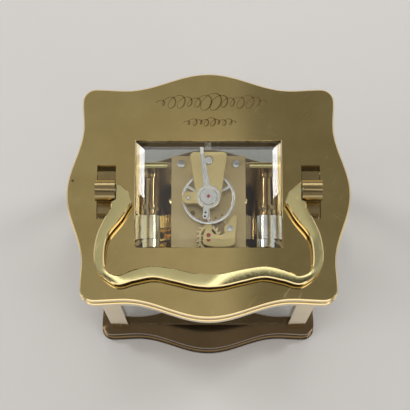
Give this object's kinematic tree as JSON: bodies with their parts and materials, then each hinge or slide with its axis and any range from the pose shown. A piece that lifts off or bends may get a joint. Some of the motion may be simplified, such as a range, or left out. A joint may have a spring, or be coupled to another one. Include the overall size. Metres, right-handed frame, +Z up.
{
  "type": "mantel clock",
  "caption": "Serpentine brass carriage clock with glazed sides, bevelled top window, folding bail handle, rear door, spring-driven gear train and lever platform escapement.",
  "frame": {"origin": "middle of the underside, on the surface the clock stands on", "axes": "+X to the right as seen from the front, +Y to the back, +Z up"},
  "size_m": [0.096, 0.0846, 0.1146],
  "materials": {
    "case_brass": "satin lacquered brass with fine brushing",
    "polished_brass": "polished lacquered brass",
    "glass": "clear bevelled glass",
    "screw_steel": "turned steel",
    "polished_steel": "polished steel",
    "blued_steel": "blued steel",
    "gilt_brass": "matt gilt brass",
    "wheel_brass": "grained wheel brass",
    "dial_enamel": "white enamel"
  },
  "bodies": {
    "root": {"base_moulding": "case_brass", "bottom_cover": "gilt_brass", "bottom_cover_screws": "screw_steel", "pillar_front_left": "case_brass", "pillar_front_right": "case_brass", "pillar_rear_left": "case_brass", "pillar_rear_right": "case_brass", "pillar_screws": "screw_steel", "top_frame": "case_brass", "top_plate": "case_brass", "top_screws": "screw_steel", "top_glass": "glass", "front_glass": "glass", "side_glass_left": "glass", "side_glass_right": "glass", "handle_post_left": "polished_brass", "handle_post_right": "polished_brass", "handle_pins": "screw_steel", "door_hinge_pins": "screw_steel", "dial_mask": "gilt_brass", "dial": "dial_enamel", "front_plate": "gilt_brass", "back_plate": "gilt_brass", "movement_pillars": "gilt_brass", "movement_screws": "blued_steel", "click_spring": "blued_steel", "click_screws": "blued_steel", "platform_plate": "gilt_brass", "platform_screws": "blued_steel", "balance_cock": "gilt_brass", "hairspring": "blued_steel", "endstone_cap": "polished_steel", "escape_cock": "gilt_brass"},
    "handle": {"handle": "polished_brass"},
    "door": {"door_frame": "case_brass", "door_glass": "glass", "door_knob": "polished_brass"},
    "minute_arbor": {"centre_arbor": "polished_steel", "cannon_pinion": "polished_steel", "minute_hand": "blued_steel", "hand_collet": "wheel_brass"},
    "hour_pipe": {"hour_wheel": "wheel_brass", "hour_hand": "blued_steel"},
    "motion_wheel": {"minute_wheel": "wheel_brass"},
    "third": {"third_arbor": "polished_steel", "third_wheel": "wheel_brass"},
    "centre": {"centre_wheel": "wheel_brass"},
    "going_barrel": {"barrel": "gilt_brass", "barrel_cap": "gilt_brass", "mainspring": "blued_steel"},
    "contrate": {"contrate_arbor": "polished_steel", "contrate_wheel": "wheel_brass"},
    "escape": {"escape_wheel": "wheel_brass"},
    "winding": {"barrel_arbor": "polished_steel", "ratchet_wheel": "polished_steel"},
    "click_lever": {"click": "polished_steel"},
    "balance": {"balance_wheel": "wheel_brass", "balance_staff": "polished_steel"},
    "lever": {"pallet_lever": "polished_steel"},
    "index": {"regulator_index": "polished_steel"}
  },
  "joints": [
    {"name": "handle_fold", "type": "hinge", "parent": "root", "child": "handle", "pos_m": [0, 0, 0.111], "axis": [-1, 0, 0], "range_deg": [0, 180]},
    {"name": "door_swing", "type": "hinge", "parent": "root", "child": "door", "pos_m": [-0.02875, 0.0308, 0.0555], "axis": [0, 0, 1], "range_deg": [0, 95]},
    {"name": "hands_turn", "type": "hinge", "parent": "root", "child": "minute_arbor", "pos_m": [0, 0, 0.06], "axis": [0, 1, 0], "continuous": true},
    {"name": "hour_turn", "type": "hinge", "parent": "root", "child": "hour_pipe", "pos_m": [0, 0, 0.06], "axis": [0, 1, 0], "continuous": true},
    {"name": "minute_wheel_turn", "type": "hinge", "parent": "root", "child": "motion_wheel", "pos_m": [0.009, 0, 0.06], "axis": [0, 1, 0], "continuous": true},
    {"name": "train_turn", "type": "hinge", "parent": "root", "child": "third", "pos_m": [-0.00972, 0, 0.07239], "axis": [0, 1, 0], "continuous": true},
    {"name": "centre_turn", "type": "hinge", "parent": "root", "child": "centre", "pos_m": [0, 0, 0.06], "axis": [0, 1, 0], "continuous": true},
    {"name": "barrel_turn", "type": "hinge", "parent": "root", "child": "going_barrel", "pos_m": [0, 0, 0.0375], "axis": [0, 1, 0], "continuous": true},
    {"name": "contrate_turn", "type": "hinge", "parent": "root", "child": "contrate", "pos_m": [0, 0, 0.0819], "axis": [0, 1, 0], "continuous": true},
    {"name": "escape_turn", "type": "hinge", "parent": "root", "child": "escape", "pos_m": [0, -0.0126, 0.092], "axis": [0, 0, 1], "continuous": true},
    {"name": "winding_turn", "type": "hinge", "parent": "root", "child": "winding", "pos_m": [0, 0, 0.0375], "axis": [0, 1, 0], "continuous": true},
    {"name": "click_lift", "type": "hinge", "parent": "root", "child": "click_lever", "pos_m": [0.0093, 0, 0.03], "axis": [0, 1, 0], "range_deg": [0, 6]},
    {"name": "balance_swing", "type": "hinge", "parent": "root", "child": "balance", "pos_m": [0, 0, 0.098], "axis": [0, 0, 1], "range_deg": [-270, 270]},
    {"name": "lever_rock", "type": "hinge", "parent": "root", "child": "lever", "pos_m": [0, -0.0075, 0.0963], "axis": [0, 0, 1], "range_deg": [-4, 4]},
    {"name": "index_shift", "type": "hinge", "parent": "root", "child": "index", "pos_m": [0, 0, 0.101], "axis": [0, 0, 1], "range_deg": [-15, 15]}
  ],
  "couplings": [
    {"joint": "hour_turn", "follows": "hands_turn", "ratio": 0.083333},
    {"joint": "minute_wheel_turn", "follows": "hands_turn", "ratio": -0.33333},
    {"joint": "centre_turn", "follows": "train_turn", "ratio": -0.125},
    {"joint": "barrel_turn", "follows": "train_turn", "ratio": 0.015625},
    {"joint": "contrate_turn", "follows": "train_turn", "ratio": -7.5},
    {"joint": "escape_turn", "follows": "train_turn", "ratio": 75}
  ]
}
